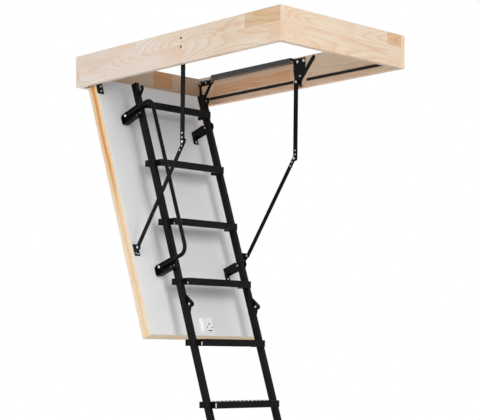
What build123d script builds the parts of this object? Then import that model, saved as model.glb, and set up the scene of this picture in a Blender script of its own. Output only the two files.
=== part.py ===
from build123d import *
from math import sin, cos, radians, degrees, hypot, atan2
import os

os.makedirs("parts", exist_ok=True)

# ceiling box, boards on edge around the opening
BOX_L = 1200.0
BOX_W = 700.0
BOX_H = 130.0
BOARD_T = 22.0
EDGE = 1.0

# rubber seal on the inside of the boards
SEAL_T = 3.0
SEAL_H = 12.0
SEAL_UP = 23.0

# insulated hatch, hanging OPEN_DEG below the ceiling
HATCH_T = 56.0
PANEL_T = 3.0
HINGE_GAP = 8.0
FREE_GAP = 12.0
SIDE_GAP = 14.0
RAIL_W = 40.0
OPEN_DEG = 71.5

# hatch hinge on each side board
PIVOT_IN = 40.0
PIVOT_UP = 8.0
PIN_R = 4.0
RUNNING = 0.05
SEAT = 0.3
STEEL = 3.0
EYE_R = 8.0
HANGER_L = 100.0
HANGER_H = 24.0
HANGER_DROP = 13.0
STRAP_W = 14.0
NECK_W = 15.0
LEAF_L = 70.0
LEAF_W = 32.0

# ladder stiles
LADDER_W = 394.0
STILE_W = 20.0
STILE_D = 30.0
STILE_R = 2.0
STANDOFF = 80.0
STILE_TOP = 55.0
HOOK_START = 24.0
HOOK_L = 36.0
HOOK_OUT = 27.0
HOOK_WALL = 10.0

# treads, folded from sheet
TREAD_S0 = 169.0
TREAD_PITCH = 262.0
TREAD_D = 82.0
TREAD_T = 28.0
TREAD_R = 3.0
TREAD_LIP = 10.0
TREAD_BACK = 9.0
SLIT_W = 6.5
SLIT_H = 20.0
SHEET = 2.0
TREADS = (4, 4, 3)

# folds between the ladder sections
FOLD_12_BELOW = 95.0
FOLD_23_BELOW = 67.0
END_BELOW = 173.0
FRONT_EAR = 34.0
REAR_EAR = 31.0
EAR_R = 11.0
EAR_T = 7.0
EAR_L = 46.0
EAR_GAP = 3.0
JOINT_GAP = 2.0

# rubber feet
FOOT_L = 40.0
FOOT_WALL = 2.0

# arm linkage on each side
LINK_BACK = 640.0
LINK_UP = 25.5
PLATE_BEHIND = 22.0
PLATE_AHEAD = 45.0
STRAP_AHEAD = 92.0
STRAP_WIDTH = 18.0
KNEE_FORE = 5.0
KNEE_DROP = 322.0
UPPER_W = 21.0
LOWER_W = 17.0
ARM_T = 5.0
ARM_GAP = 2.0
PLATE_GAP = 4.0
NOSE = 9.0
ARM_FOOT_S = 773.0
ARM_FOOT_H = 30.0
ARM_FOOT_L = 50.0
ARM_FOOT_W = 26.0

# springs along the top of the side boards
SPRING_R = 6.0
SPRING_DROP = 16.0
SPRING_START = 108.0
COVER_W = 21.0
COVER_H = 20.0
COVER_TOP = 1.0
COVER_WALL = 1.5

# stand-off brackets and handrail
BRACKET_UPPER = 35.0
BRACKET_LOWER = 153.0
BRACKET_T = 3.0
BRACKET_BASE = 56.0
EAR_BIG = 20.0
CHANNEL_W = 46.0
CHANNEL_D = 22.0
CHANNEL_R = 16.0
CHANNEL_UP = 20.0
CHANNEL_DOWN = 18.0
RAIL_R = 8.0
RAIL_CLEAR = 5.3
RAIL_OUT = 100.0
RAIL_BEND = 34.0
RAIL_FOOT = 20.0

# latch on the inner face
LATCH_W = 66.0
LATCH_L = 62.0
LATCH_T = 5.0
LATCH_IN = 16.0

PHI = radians(OPEN_DEG)
INNER_X = BOX_W / 2 - BOARD_T
BOX_BOTTOM = -BOX_H / 2
BOX_TOP = BOX_H / 2
FREE_FACE = -BOX_L + BOARD_T
HATCH_L = BOX_L - 2 * BOARD_T - HINGE_GAP - FREE_GAP
HATCH_W = BOX_W - 2 * BOARD_T - 2 * SIDE_GAP
PIVOT_Y = -PIVOT_IN
PIVOT_Z = BOX_BOTTOM + PIVOT_UP
PIVOT_S = PIVOT_IN - BOARD_T - HINGE_GAP
PIVOT_H = PIVOT_UP - HATCH_T
STILE_H = STANDOFF + STILE_D / 2
STILE_X = LADDER_W / 2 - STILE_W / 2
STILE_IN = STILE_X - STILE_W / 2
STILE_OUT = STILE_X + STILE_W / 2
STILE_FRONT = STILE_H + STILE_D / 2
TREAD_W = 2 * STILE_IN
FOLD_12 = TREAD_S0 + (TREADS[0] - 1) * TREAD_PITCH + FOLD_12_BELOW
FOLD_23 = TREAD_S0 + (TREADS[0] + TREADS[1] - 1) * TREAD_PITCH + FOLD_23_BELOW
LADDER_END = TREAD_S0 + (sum(TREADS) - 1) * TREAD_PITCH + END_BELOW
UPPER_X = INNER_X - max(SEAL_T, STEEL) - PLATE_GAP - ARM_T / 2
LOWER_X = UPPER_X - ARM_T - ARM_GAP
LINK_Y = -LINK_BACK
LINK_Z = BOX_BOTTOM + LINK_UP
KNEE_Y = LINK_Y + KNEE_FORE
KNEE_Z = LINK_Z - KNEE_DROP


def world(s, h, x=0.0):
    # s runs down the open hatch from its hinge end, h stands off its inner face
    ds = s - PIVOT_S
    dh = h - PIVOT_H
    y = PIVOT_Y - ds * cos(PHI) - dh * sin(PHI)
    z = PIVOT_Z - ds * sin(PHI) + dh * cos(PHI)
    return (x, y, z)


# x across, y up the hatch, z off its inner face
HATCH = Plane(origin=world(0, 0), x_dir=(1, 0, 0), z_dir=(0, -sin(PHI), cos(PHI)))


def side_plane(x):
    # local x is s, local y is h, the normal points to -X
    return Plane(origin=world(0, 0, x), x_dir=(0, -cos(PHI), -sin(PHI)), z_dir=(-1, 0, 0))


def board_plane(x):
    # local x is world Y, local y is world Z, the normal points to +X
    return Plane(origin=(x, 0, 0), x_dir=(0, 1, 0), z_dir=(1, 0, 0))


def save(piece, name):
    piece.part.label = name
    export_step(piece.part, f"parts/{name}.step")


def flat_bar(a, b, width):
    # a round-ended flat bar from a to b in the sketch that is open
    length = hypot(b[0] - a[0], b[1] - a[1])
    tilt = degrees(atan2(b[1] - a[1], b[0] - a[0]))
    with Locations(Location(((a[0] + b[0]) / 2, (a[1] + b[1]) / 2), tilt)):
        SlotCenterToCenter(length, width)


# boards of the box, the long ones running through
for side, name in ((-1, "box_left_board"), (1, "box_right_board")):
    with BuildPart() as board:
        with BuildSketch(Plane.XY.offset(BOX_BOTTOM)):
            with Locations((side * (BOX_W - BOARD_T) / 2, -BOX_L / 2)):
                Rectangle(BOARD_T, BOX_L)
        extrude(amount=BOX_H)
        chamfer(board.part.edges().filter_by(Axis.Y), EDGE)
    save(board, name)

for y, name in ((-BOARD_T / 2, "box_hinge_board"), (-BOX_L + BOARD_T / 2, "box_free_board")):
    with BuildPart() as board:
        with BuildSketch(Plane.XY.offset(BOX_BOTTOM)):
            with Locations((0, y)):
                Rectangle(2 * INNER_X, BOARD_T)
        extrude(amount=BOX_H)
        chamfer(board.part.edges().filter_by(Axis.X), EDGE)
    save(board, name)

# hinge hanger's two rivet centres, and the steel's place along the side boards
HANG_Z = BOX_TOP - HANGER_DROP - HANGER_H / 2
HANG_REAR = -(BOARD_T + SEAT + HANGER_H / 2)
HANG_FRONT = HANG_REAR - HANGER_L + HANGER_H
PLATE_REAR = LINK_Y + PLATE_BEHIND
PLATE_FRONT = LINK_Y - PLATE_AHEAD
STRAP_FRONT = LINK_Y - STRAP_AHEAD

# seal strips, stopped short of the steel plates on the side boards
SEAL_Z = BOX_BOTTOM + SEAL_UP
for side, tag in ((-1, "left"), (1, "right")):
    for y0, y1, end in (
        (HANG_FRONT + HANGER_H / 2, PLATE_REAR + 2, "rear"),
        (PLATE_FRONT - 9, FREE_FACE, "front"),
    ):
        with BuildPart() as seal:
            with BuildSketch(Plane.XY.offset(SEAL_Z)):
                with Locations((side * (INNER_X - SEAL_T / 2), (y0 + y1) / 2)):
                    Rectangle(SEAL_T, y0 - y1)
            extrude(amount=SEAL_H)
            fillet(seal.part.edges().filter_by(Axis.Y).group_by(Axis.X)[0 if side > 0 else -1], SEAL_T / 3)
        save(seal, f"seal_{end}_{tag}")

with BuildPart() as seal_free:
    with BuildSketch(Plane.XY.offset(SEAL_Z)):
        with Locations((0, FREE_FACE + SEAL_T / 2)):
            Rectangle(2 * (INNER_X - SEAL_T), SEAL_T)
    extrude(amount=SEAL_H)
    fillet(seal_free.part.edges().filter_by(Axis.X).group_by(Axis.Y)[-1], SEAL_T / 3)
save(seal_free, "seal_free_end")

# steel on the side boards: link plate with its strap, spring under a cover, hinge hanger
SPRING_Z = BOX_TOP - SPRING_DROP
for side, tag in ((-1, "left"), (1, "right")):
    face = board_plane(side * INNER_X)
    inward = -side
    with BuildPart() as plate:
        with BuildSketch(face):
            with BuildLine():
                Polyline(
                    (PLATE_REAR, BOX_TOP - 6),
                    (PLATE_FRONT, BOX_TOP - 6),
                    (PLATE_FRONT, 8),
                    (LINK_Y - 24, LINK_Z),
                    (LINK_Y - 24, BOX_BOTTOM + 4),
                    (LINK_Y - 36, BOX_BOTTOM + 4),
                    (LINK_Y - 36, BOX_BOTTOM + 2),
                    (LINK_Y - 14, BOX_BOTTOM + 2),
                    (LINK_Y - 14, LINK_Z - EYE_R - 3),
                    (LINK_Y + EYE_R + 3, LINK_Z - EYE_R - 3),
                    (PLATE_REAR, 8),
                    close=True,
                )
            make_face()
            flat_bar((LINK_Y - 12, LINK_Z + 2), (STRAP_FRONT, BOX_TOP - STRAP_WIDTH / 2 - 4), STRAP_WIDTH)
        extrude(amount=inward * STEEL)
        with BuildSketch(face):
            with Locations((LINK_Y, LINK_Z)):
                Circle(EYE_R)
        extrude(amount=inward * (INNER_X - UPPER_X - ARM_T / 2 - SEAT))
        with BuildSketch(face):
            with Locations((LINK_Y, LINK_Z)):
                Circle(PIN_R)
        extrude(amount=inward * (INNER_X - UPPER_X + ARM_T / 2))
    save(plate, f"link_plate_{tag}")

    spring_x = side * (INNER_X - STEEL - SEAT - SPRING_R)
    spring_l = -PLATE_REAR + 10 - SPRING_START
    with BuildPart() as spring:
        with BuildSketch(Plane(origin=(spring_x, -SPRING_START, SPRING_Z), x_dir=(1, 0, 0), z_dir=(0, -1, 0))):
            Circle(SPRING_R)
        extrude(amount=spring_l)
    save(spring, f"spring_{tag}")

    cover_start = HANG_FRONT - HANGER_H / 2 - 2
    with BuildPart() as cover:
        with BuildSketch(Plane(origin=(side * INNER_X, cover_start, SPRING_Z), x_dir=(side, 0, 0), z_dir=(0, -1, 0))):
            cover_mid = SPRING_DROP - COVER_TOP - COVER_H / 2
            down = -1 if side < 0 else 1
            with Locations((-COVER_W / 2, down * cover_mid)):
                Rectangle(COVER_W, COVER_H)
                with Locations((0, -down * COVER_WALL)):
                    Rectangle(COVER_W - 2 * COVER_WALL, COVER_H, mode=Mode.SUBTRACT)
        extrude(amount=cover_start - PLATE_REAR - 2)
    save(cover, f"spring_sleeve_{tag}")

    with BuildPart() as hanger:
        with BuildSketch(face):
            flat_bar((HANG_REAR, HANG_Z), (HANG_FRONT, HANG_Z), HANGER_H)
            flat_bar((HANG_REAR, HANG_Z), (PIVOT_Y, PIVOT_Z), STRAP_W)
            flat_bar((HANG_FRONT, HANG_Z), (PIVOT_Y, PIVOT_Z), STRAP_W)
        extrude(amount=inward * STEEL)
        with BuildSketch(face):
            with Locations((PIVOT_Y, PIVOT_Z)):
                Circle(PIN_R)
        extrude(amount=inward * SIDE_GAP)
    save(hanger, f"hinge_hanger_{tag}")

# hatch: edging frame, core and two panels
with BuildPart() as hatch_frame:
    with BuildSketch(HATCH.offset(-HATCH_T + PANEL_T)):
        with Locations((0, -HATCH_L / 2)):
            Rectangle(HATCH_W, HATCH_L)
            Rectangle(HATCH_W - 2 * RAIL_W, HATCH_L - 2 * RAIL_W, mode=Mode.SUBTRACT)
    extrude(amount=HATCH_T - 2 * PANEL_T)
save(hatch_frame, "hatch_frame")

with BuildPart() as hatch_core:
    with BuildSketch(HATCH.offset(-HATCH_T + PANEL_T)):
        with Locations((0, -HATCH_L / 2)):
            Rectangle(HATCH_W - 2 * RAIL_W, HATCH_L - 2 * RAIL_W)
    extrude(amount=HATCH_T - 2 * PANEL_T)
save(hatch_core, "hatch_core")

for low, name in ((-PANEL_T, "hatch_inner_panel"), (-HATCH_T, "hatch_outer_panel")):
    with BuildPart() as panel:
        with BuildSketch(HATCH.offset(low)):
            with Locations((0, -HATCH_L / 2)):
                Rectangle(HATCH_W, HATCH_L)
        extrude(amount=PANEL_T)
    save(panel, name)

with BuildPart() as latch:
    with BuildSketch(HATCH):
        with Locations((0, -(HATCH_L - LATCH_IN - LATCH_L / 2))):
            Rectangle(LATCH_W, LATCH_L)
    extrude(amount=LATCH_T)
    chamfer(latch.part.edges().filter_by(lambda e: abs(e.length - LATCH_T) < EDGE / 2), LATCH_T)
save(latch, "latch_plate")

# hinge leaves wrapped round the hatch's edge, and brackets of the lower arms
for side, tag in ((-1, "left"), (1, "right")):
    edge_x = side * HATCH_W / 2
    with BuildPart() as leaf:
        with BuildSketch(side_plane(edge_x)):
            with Locations((PIVOT_S, PIVOT_H / 2)):
                Rectangle(NECK_W, -PIVOT_H)
            with Locations((PIVOT_S, PIVOT_H)):
                Circle(EYE_R)
                Circle(PIN_R + RUNNING, mode=Mode.SUBTRACT)
        extrude(amount=-side * STEEL)
        with BuildSketch(HATCH):
            with Locations((edge_x - side * (LEAF_W / 2 - STEEL), -(LEAF_L + 1) / 2)):
                Rectangle(LEAF_W, LEAF_L - 1)
        extrude(amount=STEEL)
    save(leaf, f"hatch_hinge_{tag}")

    cheek_x = side * (LOWER_X - ARM_T / 2 - SEAT)
    with BuildPart() as arm_foot:
        with BuildSketch(HATCH):
            with Locations((cheek_x - side * ARM_FOOT_W / 2, -ARM_FOOT_S)):
                Rectangle(ARM_FOOT_W, ARM_FOOT_L)
        extrude(amount=STEEL)
        with BuildSketch(side_plane(cheek_x)) as cheek:
            with Locations((ARM_FOOT_S, STEEL / 2)):
                Rectangle(ARM_FOOT_L, STEEL)
            with Locations((ARM_FOOT_S, ARM_FOOT_H)):
                Circle(EYE_R + 2)
            make_hull()
        extrude(amount=side * (STEEL + 1))
        with BuildSketch(side_plane(cheek_x)):
            with Locations((ARM_FOOT_S, ARM_FOOT_H)):
                Circle(PIN_R)
        extrude(amount=-side * (ARM_T + SEAT))
    save(arm_foot, f"arm_foot_{tag}")

# stand-off brackets: a fork round the right stile, a channel beside the left one
SLEEVE_X = -(STILE_OUT + BRACKET_T)
RAIL_X = -(STILE_OUT + RAIL_CLEAR + RAIL_R)
CHANNEL_L = STILE_FRONT + BRACKET_T
RAIL_SHIFT = CHANNEL_W / 2 - BRACKET_T - RAIL_R - SEAT
BRACKETS = (
    (TREAD_S0 + BRACKET_UPPER, -CHANNEL_UP, "upper"),
    (TREAD_S0 + 2 * TREAD_PITCH + BRACKET_LOWER, CHANNEL_DOWN, "lower"),
)
for s, shift, end in BRACKETS:
    with BuildPart() as fork:
        with BuildSketch(side_plane(STILE_IN)):
            with BuildLine():
                Polyline(
                    (s - 16, 0),
                    (s - 16, STILE_H - 22),
                    (s - 6, STILE_H),
                    (s + 12, STILE_H),
                    (s + 26, STILE_H - 24),
                    (s + 26, STILE_H / 2),
                    (s + 12, STILE_H / 3),
                    (s + 12, STILE_H / 6),
                    (s + 40, STEEL),
                    (s + 40, 0),
                    close=True,
                )
            make_face()
        extrude(amount=BRACKET_T)
        with BuildSketch(HATCH):
            with Locations(((STILE_IN + STILE_OUT) / 2, -(s + 12))):
                Rectangle(STILE_W + 2 * BRACKET_T, BRACKET_BASE)
        extrude(amount=STEEL)
        with BuildSketch(side_plane(STILE_OUT)):
            with Locations((s, STEEL / 2)):
                Rectangle(2 * EAR_BIG - 8, STEEL)
            with Locations((s, STILE_FRONT + 7 - EAR_BIG)):
                Circle(EAR_BIG)
            make_hull()
        extrude(amount=-BRACKET_T)
    save(fork, f"standoff_{end}_right")

    # a deep channel, its flange wrapped round the end that stands on the hatch
    middle = s + shift
    with BuildPart() as channel:
        with BuildSketch(side_plane(-STILE_OUT)) as outline:
            with Locations((middle, CHANNEL_L / 2)):
                Rectangle(CHANNEL_W, CHANNEL_L)
            fillet(outline.vertices().group_by(Axis.Y)[0], CHANNEL_R)
        extrude(amount=CHANNEL_D)
        with BuildSketch(side_plane(-STILE_OUT - BRACKET_T)) as inside:
            with Locations((middle, BRACKET_T + CHANNEL_L / 2)):
                Rectangle(CHANNEL_W - 2 * BRACKET_T, CHANNEL_L)
            fillet(inside.vertices().group_by(Axis.Y)[0], CHANNEL_R - BRACKET_T)
        extrude(amount=CHANNEL_D, mode=Mode.SUBTRACT)
        with BuildSketch(side_plane(SLEEVE_X)):
            for h in (RAIL_FOOT + CHANNEL_R / 2, STILE_H - STILE_D / 2):
                with Locations((middle - RAIL_SHIFT, h)):
                    Circle(BRACKET_T)
        extrude(amount=RAIL_CLEAR - BRACKET_T - SEAT)
    save(channel, f"standoff_{end}_left")

# handrail, one bent tube
with BuildPart() as handrail:
    rail_top, rail_low = (s + shift - RAIL_SHIFT for s, shift, end in BRACKETS)
    with BuildLine(side_plane(RAIL_X)) as rail_path:
        FilletPolyline(
            (rail_top, RAIL_FOOT),
            (rail_top, STILE_H + RAIL_OUT),
            (rail_low, STILE_H + RAIL_OUT),
            (rail_low, RAIL_FOOT),
            radius=RAIL_BEND,
        )
    with BuildSketch(Plane(origin=rail_path.line @ 0, z_dir=rail_path.line % 0)):
        Circle(RAIL_R)
    sweep()
save(handrail, "handrail")


def stile(name, side, s0, s1, top_out, bottom_out):
    # top_out and bottom_out place the fold eye at each end off the stile's axis, 0 for none
    x = side * STILE_X
    with BuildPart() as bar:
        with BuildSketch(HATCH.offset(STANDOFF)):
            with Locations((x, -(s0 + s1) / 2)):
                Rectangle(STILE_W, s1 - s0)
        extrude(amount=STILE_D)
        chamfer(bar.part.edges().filter_by(lambda e: e.length > s1 - s0 - 1), STILE_R)
        for out, fold_s, down in (
            (top_out, s0 - JOINT_GAP / 2, 1),
            (bottom_out, s1 + JOINT_GAP / 2, -1),
        ):
            if out:
                up = 1 if out > 0 else -1
                eye = (fold_s, STILE_H + out)
                x_low = x - EAR_GAP / 2 - EAR_T if down > 0 else x + EAR_GAP / 2
                with BuildSketch(side_plane(x_low)):
                    with Locations((fold_s + down * (EAR_L / 2 + 2), STILE_H + up * (STILE_D / 2 - 1))):
                        Rectangle(EAR_L, 2)
                    with Locations(eye):
                        Circle(EAR_R)
                    make_hull()
                    if down > 0:
                        with Locations(eye):
                            Circle(PIN_R + RUNNING, mode=Mode.SUBTRACT)
                extrude(amount=-EAR_T)
                if down < 0:
                    with BuildSketch(side_plane(x - EAR_GAP / 2 - EAR_T)):
                        with Locations(eye):
                            Circle(PIN_R)
                    extrude(amount=-(2 * EAR_T + EAR_GAP))
        if not top_out:
            with BuildSketch(side_plane(x - STILE_W / 4)):
                with BuildLine():
                    Polyline(
                        (s0 + HOOK_START + HOOK_L / 2, STILE_FRONT - 1),
                        (s0 + HOOK_START + HOOK_L / 2, STILE_FRONT + HOOK_OUT - HOOK_WALL),
                        (s0 + HOOK_START + HOOK_WALL / 3, STILE_FRONT + HOOK_OUT - HOOK_WALL),
                        (s0 + HOOK_START, STILE_FRONT + HOOK_OUT - HOOK_WALL / 2),
                        (s0 + HOOK_START + HOOK_WALL / 3, STILE_FRONT + HOOK_OUT),
                        (s0 + HOOK_START + HOOK_L / 2, STILE_FRONT + HOOK_OUT),
                        (s0 + HOOK_START + HOOK_L, STILE_FRONT + HOOK_WALL / 2),
                        (s0 + HOOK_START + HOOK_L, STILE_FRONT - 1),
                        close=True,
                    )
                make_face()
            extrude(amount=-STILE_W / 2)
    save(bar, name)


for side, tag in ((-1, "left"), (1, "right")):
    stile(f"stile_1_{tag}", side, STILE_TOP, FOLD_12 - JOINT_GAP / 2, 0, FRONT_EAR)
    stile(f"stile_2_{tag}", side, FOLD_12 + JOINT_GAP / 2, FOLD_23 - JOINT_GAP / 2, FRONT_EAR, -REAR_EAR)
    with BuildPart() as last:
        with BuildSketch(HATCH.offset(STANDOFF)):
            with Locations((side * STILE_X, -(FOLD_23 + JOINT_GAP / 2 + LADDER_END - FOOT_L) / 2)):
                Rectangle(STILE_W, LADDER_END - FOOT_L - FOLD_23 - JOINT_GAP / 2)
        extrude(amount=STILE_D)
        length = LADDER_END - FOOT_L - FOLD_23 - JOINT_GAP / 2
        chamfer(last.part.edges().filter_by(lambda e: e.length > length - 1), STILE_R)
        eye = (FOLD_23, STILE_H - REAR_EAR)
        with BuildSketch(side_plane(side * STILE_X - EAR_GAP / 2 - EAR_T)):
            with Locations((FOLD_23 + EAR_L / 2 + 2, STILE_H - STILE_D / 2 + 1)):
                Rectangle(EAR_L, 2)
            with Locations(eye):
                Circle(EAR_R)
            make_hull()
            with Locations(eye):
                Circle(PIN_R + RUNNING, mode=Mode.SUBTRACT)
        extrude(amount=-EAR_T)
    save(last, f"stile_3_{tag}")

    # rubber shoe round the end of the stile, with a level sole
    with BuildPart() as foot:
        with BuildSketch(HATCH.offset(STANDOFF - FOOT_WALL)):
            with Locations((side * STILE_X, -(LADDER_END - FOOT_L / 2))):
                Rectangle(STILE_W + 2 * FOOT_WALL, FOOT_L)
        extrude(amount=STILE_D + 2 * FOOT_WALL)
        floor_point = world(LADDER_END, STANDOFF + STILE_D + FOOT_WALL)
        split(bisect_by=Plane(origin=floor_point, z_dir=(0, 0, 1)), keep=Keep.TOP)
        fillet(foot.part.edges().filter_by(Axis.X).sort_by(Axis.Z)[-1:], FOOT_WALL)
    save(foot, f"foot_{tag}")

# treads: pans folded from sheet, open below, with a lip under the front and a low back
for i in range(round(sum(TREADS))):
    y0, z0 = world(TREAD_S0 + i * TREAD_PITCH, STILE_H)[1:]
    front = y0 - TREAD_D / 2
    with BuildPart() as tread:
        with BuildSketch(Plane.XY.offset(z0)):
            with Locations((0, y0)):
                Rectangle(TREAD_W, TREAD_D)
        extrude(amount=TREAD_T)
        chamfer(tread.part.edges().filter_by(Axis.Z), TREAD_R)
        with BuildSketch(Plane.XY.offset(z0)):
            with Locations((0, y0)):
                Rectangle(TREAD_W - 2 * TREAD_R, TREAD_D - 2 * SHEET)
                Rectangle(TREAD_W - 2 * SHEET, TREAD_D - 2 * TREAD_R)
        extrude(amount=TREAD_T - SHEET, mode=Mode.SUBTRACT)
        with BuildSketch(Plane.XY.offset(z0)):
            with Locations((0, front + SHEET / 2 + TREAD_LIP / 2)):
                Rectangle(TREAD_W - 2 * TREAD_R, TREAD_LIP)
        extrude(amount=SHEET)
        with BuildSketch(Plane(origin=(0, front + TREAD_D, z0), x_dir=(1, 0, 0), z_dir=(0, -1, 0))):
            with Locations((0, (TREAD_T - TREAD_BACK) / 2)):
                Rectangle(TREAD_W - 2 * TREAD_R, TREAD_T - TREAD_BACK)
        extrude(amount=SHEET, mode=Mode.SUBTRACT)
        with BuildSketch(Plane(origin=(-TREAD_W / 2, front, z0), x_dir=(0, 1, 0), z_dir=(1, 0, 0))):
            with Locations((TREAD_R + 1 + SLIT_W / 2, TREAD_T / 2)):
                Rectangle(SLIT_W, SLIT_H)
        extrude(amount=TREAD_W, mode=Mode.SUBTRACT)
    save(tread, f"tread_{i + 1:02d}")


def arm(name, side, x, start, knee, width, lower):
    # flat bar with a hole at its start; the lower bar has the knee's pin and a small nose
    a = (start[1], start[2])
    b = (knee[0], knee[1])
    length = hypot(b[0] - a[0], b[1] - a[1])
    face = board_plane(side * x)
    with BuildPart() as bar:
        with BuildSketch(face):
            flat_bar(a, b, width)
            if lower:
                reach = (length + NOSE) / length
                with Locations((a[0] + reach * (b[0] - a[0]), a[1] + reach * (b[1] - a[1]))):
                    Circle(NOSE * 2 / 3)
            with Locations(a):
                Circle(PIN_R + RUNNING, mode=Mode.SUBTRACT)
            if not lower:
                with Locations(b):
                    Circle(PIN_R + RUNNING, mode=Mode.SUBTRACT)
        extrude(amount=ARM_T / 2, both=True)
        if lower:
            with BuildSketch(face):
                with Locations(b):
                    Circle(PIN_R)
            extrude(amount=side * (ARM_T / 2 + ARM_GAP - SEAT))
    save(bar, name)


for side, tag in ((-1, "left"), (1, "right")):
    arm(f"upper_arm_{tag}", side, UPPER_X, (0, LINK_Y, LINK_Z), (KNEE_Y, KNEE_Z), UPPER_W, False)
    arm(f"lower_arm_{tag}", side, LOWER_X, world(ARM_FOOT_S, ARM_FOOT_H), (KNEE_Y, KNEE_Z), LOWER_W, True)
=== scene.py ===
import bpy
import bmesh
from math import sin, cos, pi, radians
from mathutils import Vector, Matrix


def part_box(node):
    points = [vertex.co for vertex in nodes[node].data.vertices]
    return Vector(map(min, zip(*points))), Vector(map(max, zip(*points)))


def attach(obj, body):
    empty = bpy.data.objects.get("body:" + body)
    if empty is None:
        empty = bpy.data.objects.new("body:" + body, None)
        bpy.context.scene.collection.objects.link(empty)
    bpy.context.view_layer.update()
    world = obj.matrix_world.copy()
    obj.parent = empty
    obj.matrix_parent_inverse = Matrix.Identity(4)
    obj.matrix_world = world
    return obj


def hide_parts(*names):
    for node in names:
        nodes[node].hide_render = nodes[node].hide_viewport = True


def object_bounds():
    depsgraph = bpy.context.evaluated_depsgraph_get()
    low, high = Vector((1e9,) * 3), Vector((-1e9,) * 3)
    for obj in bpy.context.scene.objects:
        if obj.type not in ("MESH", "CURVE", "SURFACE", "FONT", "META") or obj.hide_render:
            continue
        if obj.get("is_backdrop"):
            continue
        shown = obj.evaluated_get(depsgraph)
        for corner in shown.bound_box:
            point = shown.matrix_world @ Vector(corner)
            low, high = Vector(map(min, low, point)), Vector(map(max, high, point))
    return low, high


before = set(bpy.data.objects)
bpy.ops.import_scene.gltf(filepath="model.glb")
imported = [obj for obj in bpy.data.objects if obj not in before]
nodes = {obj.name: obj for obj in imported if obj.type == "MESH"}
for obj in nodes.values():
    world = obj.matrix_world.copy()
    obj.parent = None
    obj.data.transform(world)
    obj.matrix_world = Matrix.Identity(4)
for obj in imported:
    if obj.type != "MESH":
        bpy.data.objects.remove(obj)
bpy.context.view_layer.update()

# places on the box and on the open hatch, in metres
OPEN = radians(71.5)
PIVOT = Vector((0.0, -0.040, -0.057))
PIVOT_S, PIVOT_H = 0.010, -0.048
HATCH_T = 0.056
BOX_L, BOX_X, INNER_X, BOX_TOP = 1.200, 0.350, 0.328, 0.065
HINGE_FACE = -0.022
STEEL = 0.003
LINK = Vector((0.0, -0.640, -0.0395))
KNEE = Vector((0.0, -0.635, -0.3615))
UPPER_X, LOWER_X, ARM_T = 0.3185, 0.3115, 0.005
ARM_FOOT_S, ARM_FOOT_H, ARM_FOOT_HOLE = 0.773, 0.030, 0.017
CHEEK_OUT, CHEEK_IN = 0.3087, 0.3047
STILE_X, STILE_IN, STILE_H = 0.187, 0.177, 0.095
FOLD_12, FOLD_23 = 1.050, 2.070
FRONT_EAR, REAR_EAR = 0.034, 0.031
EAR_HALF = 0.0085
CHANNELS, FORKS = (0.184, 0.864), (0.204, 0.846)
CHANNEL_WALL = -0.200
RAIL_FACE, RAIL_END_S, RAIL_END_H = -0.2183, -0.0117, 0.027
SPRING_X, SPRING_Z = 0.3187, 0.049
SPRING_REAR, SPRING_FRONT = -0.046, -0.628
LATCH_S, LATCH_T = 1.058, 0.005

DOWN = Vector((0.0, -cos(OPEN), -sin(OPEN)))
OUT = Vector((0.0, -sin(OPEN), cos(OPEN)))
ACROSS = Vector((1.0, 0.0, 0.0))
LENGTH = Vector((0.0, 1.0, 0.0))
UP = Vector((0.0, 0.0, 1.0))
LEFT, RIGHT = -1, 1
SIDES = ((LEFT, "left"), (RIGHT, "right"))


def hatch_point(s, h, x=0.0):
    # s runs down the hatch from its hinge end, h stands off its inner face
    return PIVOT + DOWN * (s - PIVOT_S) + OUT * (h - PIVOT_H) + ACROSS * x


HATCH_ORIGIN = hatch_point(0.0, 0.0)


# materials


def new_material(name):
    mat = bpy.data.materials.new(name)
    mat.use_nodes = True
    tree = mat.node_tree
    tree.nodes.clear()
    out = tree.nodes.new("ShaderNodeOutputMaterial")
    bsdf = tree.nodes.new("ShaderNodeBsdfPrincipled")
    tree.links.new(bsdf.outputs["BSDF"], out.inputs["Surface"])
    return mat, tree, bsdf


def node(tree, kind, **settings):
    made = tree.nodes.new(kind)
    for key, value in settings.items():
        setattr(made, key, value)
    return made


def feed(tree, socket, value):
    # a socket takes a link, a colour or a number
    if isinstance(value, bpy.types.NodeSocket):
        tree.links.new(value, socket)
    elif isinstance(value, tuple) and len(value) == 3 and len(socket.default_value) == 4:
        socket.default_value = (*value, 1.0)
    else:
        socket.default_value = value


def maths(tree, operation, a, b):
    made = node(tree, "ShaderNodeMath", operation=operation)
    feed(tree, made.inputs[0], a)
    feed(tree, made.inputs[1], b)
    return made.outputs[0]


def plus(tree, a, b):
    return maths(tree, "ADD", a, b)


def times(tree, a, b):
    return maths(tree, "MULTIPLY", a, b)


def measured(tree, direction, start=0.0):
    # how far a point of the piece lies along one direction
    coord = node(tree, "ShaderNodeTexCoord")
    dot = node(tree, "ShaderNodeVectorMath", operation="DOT_PRODUCT")
    dot.inputs[1].default_value = Vector(direction)
    tree.links.new(coord.outputs["Object"], dot.inputs[0])
    return plus(tree, dot.outputs["Value"], -start)


def joined(tree, x, y, z):
    made = node(tree, "ShaderNodeCombineXYZ")
    for socket, value in zip(made.inputs, (x, y, z)):
        feed(tree, socket, value)
    return made.outputs[0]


def noise(tree, vector, scale=1.0, detail=2.0):
    made = node(tree, "ShaderNodeTexNoise")
    made.inputs["Scale"].default_value = scale
    made.inputs["Detail"].default_value = detail
    tree.links.new(vector, made.inputs["Vector"])
    return made.outputs["Fac"]


def streaks(tree, places, along, across, detail=2.0):
    # noise drawn out along a board: so many cells to a metre along it and across it
    a, b, c = places
    return noise(tree, joined(tree, times(tree, a, along), times(tree, b, across), times(tree, c, across)),
                 detail=detail)


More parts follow.
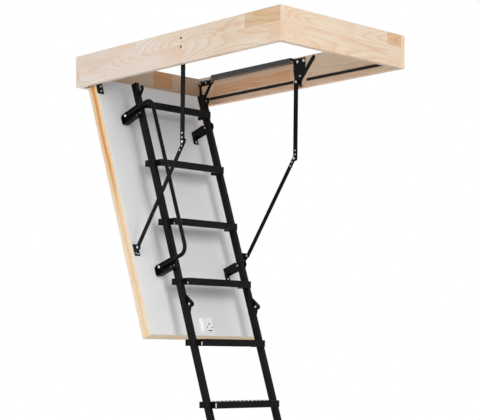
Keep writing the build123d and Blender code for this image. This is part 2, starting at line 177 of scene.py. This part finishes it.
def ramp(tree, source, *stops):
    made = node(tree, "ShaderNodeValToRGB")
    while len(made.color_ramp.elements) < len(stops):
        made.color_ramp.elements.new(0.5)
    for element, (place, colour) in zip(made.color_ramp.elements, stops):
        shade = colour if isinstance(colour, tuple) else (colour, colour, colour)
        element.position = place
        element.color = (*shade, 1.0)
    tree.links.new(source, made.inputs["Fac"])
    return made.outputs["Color"]


def mix(tree, a, b, factor, mode="MIX"):
    made = node(tree, "ShaderNodeMix", data_type="RGBA", blend_type=mode)
    feed(tree, made.inputs["Factor"], factor)
    feed(tree, made.inputs[6], a)
    feed(tree, made.inputs[7], b)
    return made.outputs[2]


def tinted(tree, base, tone, factor):
    # the base darkened by a tone where the factor is high
    return mix(tree, base, tone, factor, "MULTIPLY")


def bump(tree, bsdf, height, strength, distance):
    made = node(tree, "ShaderNodeBump")
    made.inputs["Strength"].default_value = strength
    made.inputs["Distance"].default_value = distance
    tree.links.new(height, made.inputs["Height"])
    tree.links.new(made.outputs["Normal"], bsdf.inputs["Normal"])


def inside(tree, value, low, high):
    # 1 between two limits, 0 elsewhere
    made = node(tree, "ShaderNodeMath", operation="COMPARE")
    tree.links.new(value, made.inputs[0])
    made.inputs[1].default_value = (low + high) / 2
    made.inputs[2].default_value = (high - low) / 2
    return made.outputs[0]


def block_tones(tree, along, up, rows):
    # a value from 0 to 1 for each glued block of a board, in rows of their own height
    brick = node(tree, "ShaderNodeTexBrick", offset=0.41)
    for socket, value in (("Color1", 0.0), ("Color2", 1.0), ("Mortar", 0.5)):
        brick.inputs[socket].default_value = (value, value, value, 1.0)
    for socket, value in (("Scale", 1.0), ("Mortar Size", 0.0), ("Bias", 0.0),
                          ("Brick Width", BLOCK), ("Row Height", rows)):
        brick.inputs[socket].default_value = value
    tree.links.new(joined(tree, along, up, 0.0), brick.inputs["Vector"])
    split = node(tree, "ShaderNodeSeparateColor")
    tree.links.new(brick.outputs["Color"], split.inputs[0])
    return split.outputs[0]


def bare_wood(tree, bsdf, base, relief):
    tree.links.new(base, bsdf.inputs["Base Color"])
    bsdf.inputs["Roughness"].default_value = 0.55
    bsdf.inputs["Specular IOR Level"].default_value = 0.25
    bump(tree, bsdf, relief, 0.18, 0.0003)


BLOCK = 0.47
RINGS_PER_METRE = 430.0
PITH_AWAY, PITH_SWAY, PITH_DRIFT, PITH_STEP = 0.034, 0.120, 0.110, 0.050
BLOCK_JUMP = 9.7


def wood(name, directions, tones, rows, row_start, seed, patches):
    # glued softwood lamellas, each block with rings of its own cut by the board's faces
    mat, tree, bsdf = new_material(name)
    along, up, across = directions
    a = measured(tree, along)
    u = measured(tree, up, row_start)
    c = measured(tree, across)
    own = block_tones(tree, plus(tree, a, seed), u, rows)

    # the pith runs beside the board at a slant, so the rings show as ovals and long arches
    a_own = plus(tree, a, times(tree, own, BLOCK_JUMP))
    sway = noise(tree, joined(tree, times(tree, a_own, 0.13), u, c), 5.0, 1.0)
    drift = noise(tree, joined(tree, times(tree, a_own, 0.15), c, u), 3.6, 1.0)
    deep = plus(tree, plus(tree, c, PITH_AWAY), times(tree, sway, PITH_SWAY))
    beside = maths(tree, "SUBTRACT", u, times(tree, own, PITH_STEP))
    wide = plus(tree, beside, times(tree, drift, PITH_DRIFT))
    reach = maths(tree, "POWER", plus(tree, times(tree, deep, deep), times(tree, wide, wide)), 0.5)
    tremble = streaks(tree, (a, u, c), 14.0, 60.0)
    rings = plus(tree, times(tree, reach, RINGS_PER_METRE), times(tree, tremble, 0.7))
    grain = ramp(tree, maths(tree, "FRACT", rings, 1.0),
                 (0.0, 0.0), (0.40, 0.08), (0.78, 0.55), (0.92, 1.0), (1.0, 0.0))
    fibre = ramp(tree, streaks(tree, (a, u, c), 9.0, 240.0, 3.0), (0.35, 0.0), (0.72, 1.0))
    cloud = noise(tree, joined(tree, times(tree, a_own, 3.0), times(tree, u, 18.0), c))

    # the tone changes along the board, from block to block, in clouds, by rings and by fibres
    rear, front = tones
    base = ramp(tree, plus(tree, a, 1.0), (0.0, front), (0.12, front), (0.50, rear))
    base = tinted(tree, base, (0.98, 0.94, 0.89), own)
    base = tinted(tree, base, (0.99, 0.885, 0.81), ramp(tree, cloud, (0.42, 0.0), (0.66, 1.0)))
    base = tinted(tree, base, RING_TONE, grain)
    base = tinted(tree, base, (0.96, 0.93, 0.90), fibre)
    for a0, a1, u0, u1, tone in patches:
        here = times(tree, inside(tree, a, a0, a1), inside(tree, u, u0 - row_start, u1 - row_start))
        base = tinted(tree, base, tone, here)
    bare_wood(tree, bsdf, base, mix(tree, fibre, grain, 0.35))
    return mat


def edging(name):
    # the hatch's edging: pale faces with an orange heartwood band along the middle
    mat, tree, bsdf = new_material(name)
    s = measured(tree, DOWN, HATCH_ORIGIN.dot(DOWN))
    h = measured(tree, OUT, HATCH_ORIGIN.dot(OUT))
    x = measured(tree, ACROSS)
    sway = noise(tree, joined(tree, times(tree, s, 3.0), 0.0, times(tree, x, 3.0)))
    level = plus(tree, h, times(tree, sway, 0.022))
    band = ramp(tree, times(tree, plus(tree, level, HATCH_T), 1 / HATCH_T),
                (0.0, 0.30), (0.16, 0.05), (0.50, 0.16), (0.60, 1.0),
                (0.78, 0.90), (0.90, 0.10), (1.0, 0.0))
    fade = ramp(tree, s, (0.0, 1.0), (0.38, 0.90), (0.62, 0.30), (1.0, 0.20))
    fibre = streaks(tree, (s, h, x), 12.0, 500.0, 3.0)
    fleck = streaks(tree, (s, h, x), 160.0, 90.0)
    base = mix(tree, (0.91, 0.775, 0.57), (0.70, 0.33, 0.10), mix(tree, (0.0, 0.0, 0.0), band, fade))
    base = tinted(tree, base, (0.985, 0.87, 0.74), fade)
    base = tinted(tree, base, (0.90, 0.84, 0.76), ramp(tree, fibre, (0.40, 0.0), (0.70, 1.0)))
    base = tinted(tree, base, (0.92, 0.88, 0.84), ramp(tree, fleck, (0.50, 0.0), (0.68, 1.0)))
    bare_wood(tree, bsdf, base, fibre)
    return mat


def coated(name, low, high, gloss, specular=0.5, grain=700.0, depth=0.00005, metallic=0.0, patch=9.0):
    # paint, plastic or plated steel: a fine grain, and a colour and gloss that vary a little
    mat, tree, bsdf = new_material(name)
    coord = node(tree, "ShaderNodeTexCoord")
    fine = noise(tree, coord.outputs["Object"], grain, 1.0)
    broad = noise(tree, coord.outputs["Object"], patch, 3.0)
    colour = ramp(tree, broad, (0.32, low), (0.70, high))
    roughness = ramp(tree, broad, (0.30, gloss - 0.06), (0.70, gloss + 0.06))
    tree.links.new(colour, bsdf.inputs["Base Color"])
    tree.links.new(roughness, bsdf.inputs["Roughness"])
    bsdf.inputs["Metallic"].default_value = metallic
    bsdf.inputs["Specular IOR Level"].default_value = specular
    bump(tree, bsdf, fine, 0.25, depth)
    return mat


RING_TONE = (0.915, 0.805, 0.72)
PINE_REAR, PINE_FRONT = (0.81, 0.755, 0.705), (0.745, 0.645, 0.53)
WARM_REAR, WARM_FRONT = (0.86, 0.68, 0.53), (0.82, 0.67, 0.52)
# painted shade: a darker tone for the hinge board's pine, which stands for the shade it lies in inside the
# box
HINGE_PAINTED_SHADE = (0.66, 0.555, 0.46)
HEART, ORANGE, RED, GREY = (0.88, 0.76, 0.60), (1.0, 0.80, 0.62), (1.0, 0.74, 0.50), (0.80, 0.74, 0.68)
LONG_BOARD = (LENGTH, UP, ACROSS)
END_BOARD = (ACROSS, UP, LENGTH)

# each patch is a block of its own tone, except the hinge board's second patch, next to its corner, which
# only darkens the board there: from, to, lower edge, upper edge, tone
left_pine = wood("pine_left", LONG_BOARD, (PINE_REAR, PINE_FRONT), 0.074, 0.009, 0.2,
                 ((-1.20, -1.015, 0.009, 0.065, HEART),))
right_pine = wood("pine_right", LONG_BOARD, (WARM_REAR, WARM_FRONT), 0.0434, -0.0217, 0.9,
                  ((-0.60, -0.12, -0.0217, 0.0217, ORANGE),))
# the hinge board's darker tone at both ends is painted shade
hinge_pine = wood("pine_hinge", END_BOARD, (HINGE_PAINTED_SHADE, HINGE_PAINTED_SHADE), 0.070, -0.005, 1.3,
                  ((0.06, 0.17, -0.005, 0.065, RED), (0.24, 0.33, -0.065, 0.065, GREY)))
free_pine = wood("pine_free", END_BOARD, (PINE_FRONT, PINE_FRONT), 0.074, 0.009, 2.1,
                 ((0.245, 0.35, 0.015, 0.065, HEART),))
edge_pine = edging("pine_edging")
black = coated("black_steel", 0.0035, 0.0062, 0.36, specular=0.09)
sleeve = coated("black_sleeve", 0.016, 0.026, 0.30)
rubber = coated("rubber", 0.010, 0.016, 0.72, specular=0.2, grain=350.0, depth=0.00012)
zinc = coated("zinc", 0.42, 0.60, 0.34, metallic=1.0, patch=40.0)
bright = coated("bright_zinc", 0.62, 0.80, 0.30, metallic=1.0, patch=60.0)
panel = coated("white_panel", (0.76, 0.76, 0.764), (0.79, 0.79, 0.793), 0.42,
               grain=160.0, depth=0.00003, patch=2.6)
plastic = coated("white_plastic", (0.93, 0.93, 0.925), (0.95, 0.95, 0.945), 0.30, grain=420.0)
foam = coated("foam", (0.74, 0.72, 0.66), (0.80, 0.78, 0.72), 0.88, specular=0.2, grain=260.0, depth=0.0003)
# painted shade: a near-black finish that stands for the shade inside holes and recesses
hole = coated("painted_recess_shade", 0.020, 0.030, 0.80, specular=0.1)

FINISH = {
    "box_left_board": left_pine, "box_right_board": right_pine,
    "box_hinge_board": hinge_pine, "box_free_board": free_pine,
    "spring_sleeve_left": sleeve, "spring_sleeve_right": sleeve,
    "hatch_frame": edge_pine, "hatch_core": foam,
    "hatch_inner_panel": panel, "hatch_outer_panel": panel, "latch_plate": plastic,
}
for name, obj in nodes.items():
    mat = rubber if name.startswith(("seal_", "foot_")) else FINISH.get(name, black)
    if not obj.material_slots:
        obj.data.materials.append(mat)
    for slot in obj.material_slots:
        slot.material = mat


# small pieces that sit on the frame


def piece(name, bm, body, mat, smooth=True):
    mesh = bpy.data.meshes.new(name)
    bmesh.ops.recalc_face_normals(bm, faces=bm.faces)
    bm.to_mesh(mesh)
    bm.free()
    obj = bpy.data.objects.new(name, mesh)
    bpy.context.collection.objects.link(obj)
    mesh.materials.append(mat)
    for poly in mesh.polygons:
        poly.use_smooth = smooth
    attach(obj, body)
    return obj


def skin(bm, rows):
    # faces from each row of points to the next, and a cap on both ends
    count = len(rows[0])
    for low, high in zip(rows, rows[1:]):
        for i in range(count):
            j = (i + 1) % count
            bm.faces.new((low[i], low[j], high[j], high[i]))
    bm.faces.new(rows[0][::-1])
    bm.faces.new(rows[-1])


def turned(bm, place, normal, profile, ring=14, squash=1.0):
    # a closed turned form on a face: profile lists radius and height from the foot to the top
    m = Matrix.Translation(place) @ Vector(normal).to_track_quat("Z", "Y").to_matrix().to_4x4()
    turns = [2 * pi * i / ring for i in range(ring)]
    skin(bm, [[bm.verts.new(m @ Vector((r * cos(t), squash * r * sin(t), z))) for t in turns]
              for r, z in profile])


def rivet(bm, place, normal, radius, height):
    turned(bm, place, normal, [(radius * cos(t), height * sin(t)) for t in (0.0, 0.4, 0.8, 1.15, 1.4)])


def bolt(bm, place, normal, radius, height):
    # a flat cap on a thin flange
    turned(bm, place, normal, ((radius, 0), (radius, 0.3 * height), (0.72 * radius, 0.4 * height),
                               (0.66 * radius, 0.9 * height), (0.45 * radius, height)))


# radius and height of the heads that are used more than once
ARM_HEAD, KNEE_HEAD = (0.0038, 0.0010), (0.0062, 0.0022)
PLATE_HEAD_H = 0.0022
UPPER_HEADS, LOWER_HEADS = (0.017, 0.034), (0.018, 0.037)
# y, z and radius of the heads on a link plate and on a hinge hanger
PLATE_HEADS = ((-0.640, 0.046, 0.0065), (-0.677, 0.046, 0.0065), (-0.656, -0.016, 0.0045),
               (-0.0343, 0.040, 0.0045), (-0.0723, 0.040, 0.0045), (-0.1103, 0.040, 0.0045))
SCREW_Y, SCREW_Z = -0.662, (0.033, -0.001)
SCREW = ((0.0048, 0), (0.0048, 0.0004), (0.0030, 0.0012))


def board_heads(side, tag):
    inward = Vector((-side, 0, 0))
    bm = bmesh.new()
    for y, z, r in PLATE_HEADS:
        rivet(bm, Vector((side * (INNER_X - STEEL), y, z)), inward, r, PLATE_HEAD_H)
    rivet(bm, Vector((side * (UPPER_X - ARM_T / 2), LINK.y, LINK.z)), inward, 0.0055, 0.0010)
    piece(f"board_rivets_{tag}", bm, "box", bright)

    # screw heads let into the outer face of each long board, coloured near black as painted shade of their
    # recesses
    bm = bmesh.new()
    for z in SCREW_Z:
        turned(bm, Vector((side * BOX_X, SCREW_Y, z)), inward, SCREW)
    piece(f"board_screws_{tag}", bm, "box", hole)


def arm_heads(side, tag):
    # heads on both faces of the arms near the knee
    inward = Vector((-side, 0, 0))
    lower_dir = (hatch_point(ARM_FOOT_S, ARM_FOOT_H) - KNEE).normalized()
    for arm, middle, direction, places, way_out in (
            ("upper", UPPER_X, UP, UPPER_HEADS, 1), ("lower", LOWER_X, lower_dir, LOWER_HEADS, -1)):
        bm = bmesh.new()
        for way in (-1, 1):
            face = ACROSS * (side * middle + way * ARM_T / 2) + KNEE
            for place in places:
                rivet(bm, face + direction * place, (way, 0, 0), *ARM_HEAD)
        pin = ACROSS * side * (middle + way_out * ARM_T / 2) + KNEE
        rivet(bm, pin, -inward * way_out, *KNEE_HEAD)
        piece(f"{arm}_arm_rivets_{tag}", bm, f"{arm}_arm_{tag}", bright)


WIRE_R, TURN_R, TURN_PITCH, TURN_STEPS = 0.0011, 0.0047, 0.0034, 10
HOOK_L, HOOK_STEPS, TAIL_L, TAIL_STEPS = 0.012, 8, 0.010, 4
EYE_R, EYE_WIRE, EYE_OFF, EYE_STEPS, EYE_RING = 0.0075, 0.0014, 0.011, 20, 6


def spring(side, tag):
    # extension spring: a hook, a long close coil and a straight tail that ends in the coil's axis
    rear, front = SPRING_REAR - HOOK_L, SPRING_FRONT + HOOK_L
    turns = int((rear - front) / TURN_PITCH)
    route = []
    for k in range(-HOOK_STEPS // 2, HOOK_STEPS):
        share = k / HOOK_STEPS
        route.append((TURN_R * sin(pi * share), rear + HOOK_L * (1 - share), TURN_R * cos(pi * share)))
    for k in range(turns * TURN_STEPS + 1):
        t = pi + 2 * pi * k / TURN_STEPS
        route.append((TURN_R * sin(t), rear - TURN_PITCH * k / TURN_STEPS, TURN_R * cos(t)))
    x0, y0, z0 = route[-1]
    for k in range(1, TAIL_STEPS + 1):
        share = k / TAIL_STEPS
        route.append((x0 * (1 - share), y0 - TAIL_L * share, z0 * (1 - share)))
    points = [Vector((side * (SPRING_X + x), y, SPRING_Z + z)) for x, y, z in route]

    bm = bmesh.new()
    rows = []
    for i, p in enumerate(points):
        ahead = (points[min(i + 1, len(points) - 1)] - points[max(i - 1, 0)]).normalized()
        out = p - Vector((side * SPRING_X, p.y, SPRING_Z))
        if out.length > 1e-5:
            out = (out - ahead * out.dot(ahead)).normalized()
        else:
            out = ahead.orthogonal().normalized()
        level = ahead.cross(out)
        rows.append([bm.verts.new(p + (out * cos(t) + level * sin(t)) * WIRE_R)
                     for t in (0, pi / 2, pi, 3 * pi / 2)])
    skin(bm, rows)
    coil = piece(f"spring_coil_{tag}", bm, "box", zinc)
    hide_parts(f"spring_{tag}")


def spring_eye(side, tag):
    # a ring on a rivet in the hinge board, which the spring's hook holds
    bm = bmesh.new()
    middle = Vector((side * SPRING_X, HINGE_FACE - EYE_OFF, SPRING_Z))
    hoop = []
    for i in range(EYE_STEPS):
        t = 2 * pi * i / EYE_STEPS
        spoke = Vector((0, cos(t), sin(t)))
        hoop.append([bm.verts.new(middle + spoke * (EYE_R + EYE_WIRE * cos(v)) + ACROSS * EYE_WIRE * sin(v))
                     for v in [2 * pi * j / EYE_RING for j in range(EYE_RING)]])
    for i in range(EYE_STEPS):
        for j in range(EYE_RING):
            k, n = (i + 1) % EYE_STEPS, (j + 1) % EYE_RING
            bm.faces.new((hoop[i][j], hoop[k][j], hoop[k][n], hoop[i][n]))
    rivet(bm, Vector((side * SPRING_X, HINGE_FACE, SPRING_Z)), (0, -1, 0), 0.0045, 0.0036)
    piece(f"spring_eye_{tag}", bm, "box", bright)


for side, tag in SIDES:
    board_heads(side, tag)
    arm_heads(side, tag)
    spring(side, tag)
    spring_eye(side, tag)

# heads on the hatch: hinge leaves and the feet of the arms
bm = bmesh.new()
for side in (LEFT, RIGHT):
    outward, inward = (side, 0, 0), (-side, 0, 0)
    for s, x in ((0.016, 0.311), (0.036, 0.295), (0.058, 0.298)):
        rivet(bm, hatch_point(s, STEEL, side * x), OUT, 0.0038, 0.0016)
    rivet(bm, hatch_point(ARM_FOOT_S, ARM_FOOT_H, side * (LOWER_X + ARM_T / 2)), outward, 0.0058, 0.0022)
    rivet(bm, hatch_point(ARM_FOOT_S, ARM_FOOT_H, side * CHEEK_IN), inward, 0.0052, 0.0018)
    for face, way in ((CHEEK_OUT, outward), (CHEEK_IN, inward)):
        rivet(bm, hatch_point(ARM_FOOT_S + ARM_FOOT_HOLE, 0.010, side * face), way, 0.0030, 0.0012)
    for s in (ARM_FOOT_S - ARM_FOOT_HOLE, ARM_FOOT_S + ARM_FOOT_HOLE):
        rivet(bm, hatch_point(s, STEEL, side * 0.292), OUT, 0.0035, 0.0014)

# the stand-offs and the rail's ends
for s in FORKS:
    rivet(bm, hatch_point(s + 0.002, 0.086, STILE_IN - STEEL), (-1, 0, 0), 0.0045, 0.0018)
    rivet(bm, hatch_point(s, 0.097, STILE_X + 0.013), (1, 0, 0), 0.0060, 0.0022)
    rivet(bm, hatch_point(s + 0.030, STEEL, STILE_X), OUT, 0.0040, 0.0016)
for middle in CHANNELS:
    bolt(bm, hatch_point(middle + RAIL_END_S, RAIL_END_H, RAIL_FACE + 0.0004), (-1, 0, 0), 0.0064, 0.0034)
    for s, h, r in ((0.006, 0.098, 0.0026), (0.006, 0.078, 0.0026), (0.012, 0.016, 0.0022)):
        rivet(bm, hatch_point(middle + s, h, CHANNEL_WALL), (-1, 0, 0), r, 0.0012)
piece("hatch_rivets", bm, "hatch", bright)

# dark washers under the rail's bolts
bm = bmesh.new()
for middle in CHANNELS:
    turned(bm, hatch_point(middle + RAIL_END_S, RAIL_END_H, RAIL_FACE + 0.0016), (-1, 0, 0),
           ((0.0086, 0), (0.0088, 0.0008), (0.0080, 0.0016)))
piece("rail_washers", bm, "hatch", black)

# light ends of the fold pins
for body, fold, h in (("hatch", FOLD_12, STILE_H + FRONT_EAR), ("section_2", FOLD_23, STILE_H - REAR_EAR)):
    bm = bmesh.new()
    for x in (-STILE_X, STILE_X):
        for way in (-1, 1):
            rivet(bm, hatch_point(fold, h, x + way * EAR_HALF), (way, 0, 0), 0.0052, 0.0016)
    piece(f"fold_pins_{body}", bm, body, bright)

# the latch's raised keeper cap, with round corners and a soft upper edge
CAP_X, CAP_S, CAP_W, CAP_L, CAP_H, CAP_R = -0.021, LATCH_S + 0.031, 0.021, 0.054, 0.006, 0.004
CORNERS = ((1, 1), (-1, 1), (-1, -1), (1, -1))
bm = bmesh.new()
rows = []
for inset, level in ((0.0, 0.0), (0.0, 0.55), (0.00084, 0.85), (0.0024, 1.0)):
    w, l = CAP_W / 2 - inset - CAP_R, CAP_L / 2 - inset - CAP_R
    row = []
    for start, (x_way, s_way) in enumerate(CORNERS):
        for i in range(4):
            t = (start + i / 3) * pi / 2
            s, x = s_way * l + CAP_R * sin(t), x_way * w + CAP_R * cos(t)
            row.append(bm.verts.new(hatch_point(CAP_S + s, LATCH_T + CAP_H * level, CAP_X + x)))
    rows.append(row)
skin(bm, rows)
piece("latch_keeper", bm, "hatch", plastic)

# a key hole, two screw holes and a slot, as flat near-black discs of painted shade: s, x, radius and how
# tall against its width
bm = bmesh.new()
for s, x, r, tall in ((0.028, 0.012, 0.0027, 1.7), (0.043, -0.001, 0.0027, 1.0),
                      (0.043, 0.027, 0.0027, 1.0), (0.057, 0.012, 0.0125, 0.20)):
    rim = ((r, 0), (r, 0.0003), (0.8 * r, 0.0005))
    turned(bm, hatch_point(LATCH_S + s, LATCH_T, x), OUT, rim, squash=tall)
piece("latch_holes", bm, "hatch", hole)

CLASP_SHEET, CLASP_REAR, CLASP_GRIP = 0.002, 0.040, 0.010
CLASP_OUTER, CLASP_WALL, CLASP_INSET = 0.0115, 0.0101, 0.001
POINT_COUNT, POINT_PITCH = 14, 0.0225
POINT = ((0.0042, 0), (0.0030, 0.0011), (0.0018, 0.0017))
END_RIVET_Y = 0.0175


def clasps(name, body, first, last):
    # the tread's end walls are carried on round the back of each stile
    bm = bmesh.new()
    for i in range(first, last + 1):
        lo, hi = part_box(f"tread_{i:02d}")
        middle = (lo[1] + hi[1]) / 2
        rear, grip = middle + CLASP_REAR, middle + CLASP_GRIP
        for side in (LEFT, RIGHT):
            inner, outer = side * STILE_IN, side * (STILE_X + CLASP_OUTER)
            wall = side * (STILE_X + CLASP_WALL)
            outline = ((inner, rear), (outer, rear), (outer, grip), (wall, grip),
                       (wall, rear - CLASP_SHEET), (inner, rear - CLASP_SHEET))
            skin(bm, [[bm.verts.new((x, y, z)) for x, y in outline]
                      for z in (lo[2] + CLASP_INSET, hi[2] - CLASP_INSET)])
    piece(name, bm, body, black, smooth=False)


def point_rows(name, body, first, last):
    # small points pressed up in rows on each tread's top, and a rivet head in each end wall
    bm = bmesh.new()
    for i in range(first, last + 1):
        lo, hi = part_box(f"tread_{i:02d}")
        for y in (lo[1] + 0.0065, lo[1] + 0.024, (lo[1] + hi[1]) / 2, hi[1] - 0.024, hi[1] - 0.007):
            for k in range(POINT_COUNT):
                x = POINT_PITCH * (k - (POINT_COUNT - 1) / 2)
                turned(bm, Vector((x, y, hi[2])), UP, POINT, ring=6, squash=0.65)
        for side in (LEFT, RIGHT):
            place = Vector((side * STILE_IN, lo[1] + END_RIVET_Y, (lo[2] + hi[2]) / 2))
            rivet(bm, place, (side, 0, 0), 0.0040, 0.0012)
    piece(name, bm, body, black, smooth=False)


clasps("stile_clasps_1", "hatch", 2, 4)
clasps("stile_clasps_2", "section_2", 5, 8)
clasps("stile_clasps_3", "section_3", 9, 11)
point_rows("tread_points_1", "hatch", 1, 4)
point_rows("tread_points_2", "section_2", 5, 8)
point_rows("tread_points_3", "section_3", 9, 11)

# camera at the photograph's angle, its focal length and horizon in the photograph's pixels
PHOTO_W, PHOTO_H = 480.0, 420.0
FOCAL, HORIZON = 1411.0, 368.5
SENSOR = 36.0
CAMERA_PLACE, CAMERA_TURN = (-3.985, -4.743, -1.246), -44.09
camera_data = bpy.data.cameras.new("camera")
camera = bpy.data.objects.new("camera", camera_data)
bpy.context.collection.objects.link(camera)
camera_data.sensor_width = SENSOR
camera_data.lens = FOCAL / PHOTO_W * SENSOR
camera_data.shift_y = (HORIZON - PHOTO_H / 2) / PHOTO_W
camera_data.clip_end = 100.0
camera.location = CAMERA_PLACE
camera.rotation_euler = (radians(90.0), 0.0, radians(CAMERA_TURN))
scene = bpy.context.scene
scene.camera = camera
scene.view_settings.view_transform = "Standard"

# white surroundings for the eye, and a softer, lower light on the object, lowest from above
world = bpy.data.worlds.new("studio")
scene.world = world
world.use_nodes = True
tree = world.node_tree
tree.nodes.clear()
seen = node(tree, "ShaderNodeBackground")
lit = node(tree, "ShaderNodeBackground")
for background in (seen, lit):
    background.inputs["Color"].default_value = (1, 1, 1, 1)
coord = node(tree, "ShaderNodeTexCoord")
height = node(tree, "ShaderNodeSeparateXYZ")
tree.links.new(coord.outputs["Generated"], height.inputs[0])
above = node(tree, "ShaderNodeMapRange")
for socket, value in (("From Min", -0.1), ("From Max", 0.7), ("To Min", 0.67), ("To Max", 0.37)):
    above.inputs[socket].default_value = value
tree.links.new(height.outputs["Z"], above.inputs["Value"])
tree.links.new(above.outputs[0], lit.inputs["Strength"])
path = node(tree, "ShaderNodeLightPath")
eye = maths(tree, "MAXIMUM", path.outputs["Is Camera Ray"], path.outputs["Is Glossy Ray"])
eye = maths(tree, "MAXIMUM", eye, path.outputs["Is Transmission Ray"])
choose = node(tree, "ShaderNodeMixShader")
tree.links.new(eye, choose.inputs["Fac"])
tree.links.new(lit.outputs[0], choose.inputs[1])
tree.links.new(seen.outputs[0], choose.inputs[2])
out = node(tree, "ShaderNodeOutputWorld")
tree.links.new(choose.outputs[0], out.inputs["Surface"])

LAMP_TARGET = Vector((0.0, -0.6, -0.6))


def area_light(name, direction, distance, size, level):
    # level 1 lights a face that looks at the lamp so that it renders in its own colour
    data = bpy.data.lights.new(name, "AREA")
    data.shape = "SQUARE"
    data.size = size
    data.energy = level * pi ** 2 * distance ** 2
    obj = bpy.data.objects.new(name, data)
    bpy.context.collection.objects.link(obj)
    away = Vector(direction).normalized()
    obj.location = LAMP_TARGET + away * distance
    obj.rotation_euler = (-away).to_track_quat("-Z", "Y").to_euler()


area_light("key", (-0.24, -0.93, 0.24), 5.2, 1.9, 0.47)
area_light("left", (-1.0, -0.25, 0.02), 4.8, 2.8, 0.39)
area_light("back", (0.75, 1.0, 0.10), 5.0, 2.8, 0.36)


def plane(name, x, y, z, mat):
    rear, front = y
    mesh = bpy.data.meshes.new(name)
    mesh.from_pydata([(-x, rear, z), (x, rear, z), (x, front, z), (-x, front, z)], [], [(0, 1, 2, 3)])
    obj = bpy.data.objects.new(name, mesh)
    bpy.context.collection.objects.link(obj)
    mesh.materials.append(mat)
    obj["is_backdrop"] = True
    return obj


# a pale floor, which looks nearly white to the eye and keeps the object's shadow
FLOOR_HALF, FLOOR_GLOW, FLOOR_GAP = 25.0, 0.45, 0.001
floor_mat, floor_tree, floor_bsdf = new_material("floor")
floor_bsdf.inputs["Base Color"].default_value = (0.90, 0.90, 0.90, 1)
floor_bsdf.inputs["Roughness"].default_value = 0.8
floor_bsdf.inputs["Emission Color"].default_value = (1, 1, 1, 1)
direct = node(floor_tree, "ShaderNodeLightPath").outputs["Is Camera Ray"]
floor_tree.links.new(times(floor_tree, direct, FLOOR_GLOW), floor_bsdf.inputs["Emission Strength"])
plane("floor", FLOOR_HALF, (-FLOOR_HALF, FLOOR_HALF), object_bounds()[0].z - FLOOR_GAP, floor_mat)

# a dim screen over the opening, which holds back part of the light from above as a loft does
SCREEN_GAP = 0.003
screen_mat, _, screen_bsdf = new_material("screen")
screen_bsdf.inputs["Base Color"].default_value = (0.18, 0.17, 0.16, 1)
screen_bsdf.inputs["Roughness"].default_value = 0.9
screen_bsdf.inputs["Alpha"].default_value = 0.50
screen = plane("screen", BOX_X, (-BOX_L, 0.0), BOX_TOP + SCREEN_GAP, screen_mat)
screen.visible_camera = False
screen.visible_glossy = False
